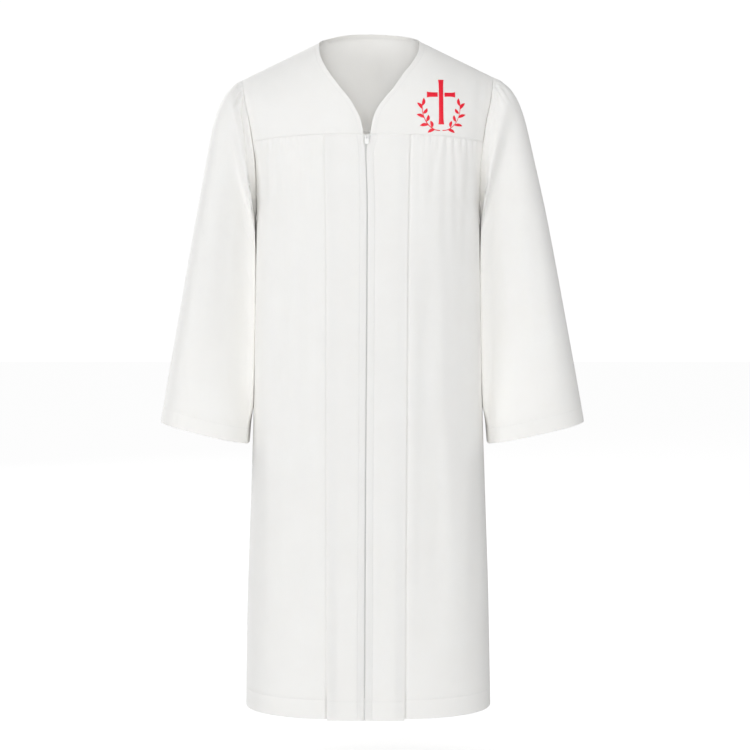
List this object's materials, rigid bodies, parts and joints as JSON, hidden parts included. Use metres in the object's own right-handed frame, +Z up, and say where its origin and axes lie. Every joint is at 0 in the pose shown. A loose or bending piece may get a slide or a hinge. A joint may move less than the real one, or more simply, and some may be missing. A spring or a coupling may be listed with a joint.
{
  "type": "confirmation robe",
  "caption": "Long white robe with a smooth yoke, V neck, front zip between plain placket strips, gathered panels and wide open sleeves, standing open as worn.",
  "frame": {"origin": "the middle between the points where the shoulders meet the neck, where the worn robe rests on its wearer", "axes": "+Z up, the front faces -Y, +X is the wearer's left"},
  "size_m": [0.7517, 0.2924, 1.198],
  "materials": {
    "robe_cloth": "matte plain weave",
    "zip_tape": "matte woven tape",
    "zip_metal": "white enamel",
    "emblem_thread": "red satin-stitch thread of the emblem, which is only on the looks"
  },
  "bodies": {
    "robe": {"yoke_front_left": "robe_cloth", "yoke_front_right": "robe_cloth", "yoke_back": "robe_cloth", "front_panel_left": "robe_cloth", "front_panel_right": "robe_cloth", "placket_left": "robe_cloth", "placket_right": "robe_cloth", "back_panel": "robe_cloth", "sleeve_left": "robe_cloth", "sleeve_right": "robe_cloth", "neck_facing": "robe_cloth", "zip_tape_left": "zip_tape", "zip_tape_right": "zip_tape", "zip_slider": "zip_metal"},
    "zip_pull": {"zip_pull": "zip_metal"}
  },
  "joints": [
    {"name": "zip_pull_swing", "type": "hinge", "parent": "robe", "child": "zip_pull", "pos_m": [-0.0017, -0.10594, -0.1705], "axis": [-1, 0, 0], "range_deg": [0, 165]}
  ]
}
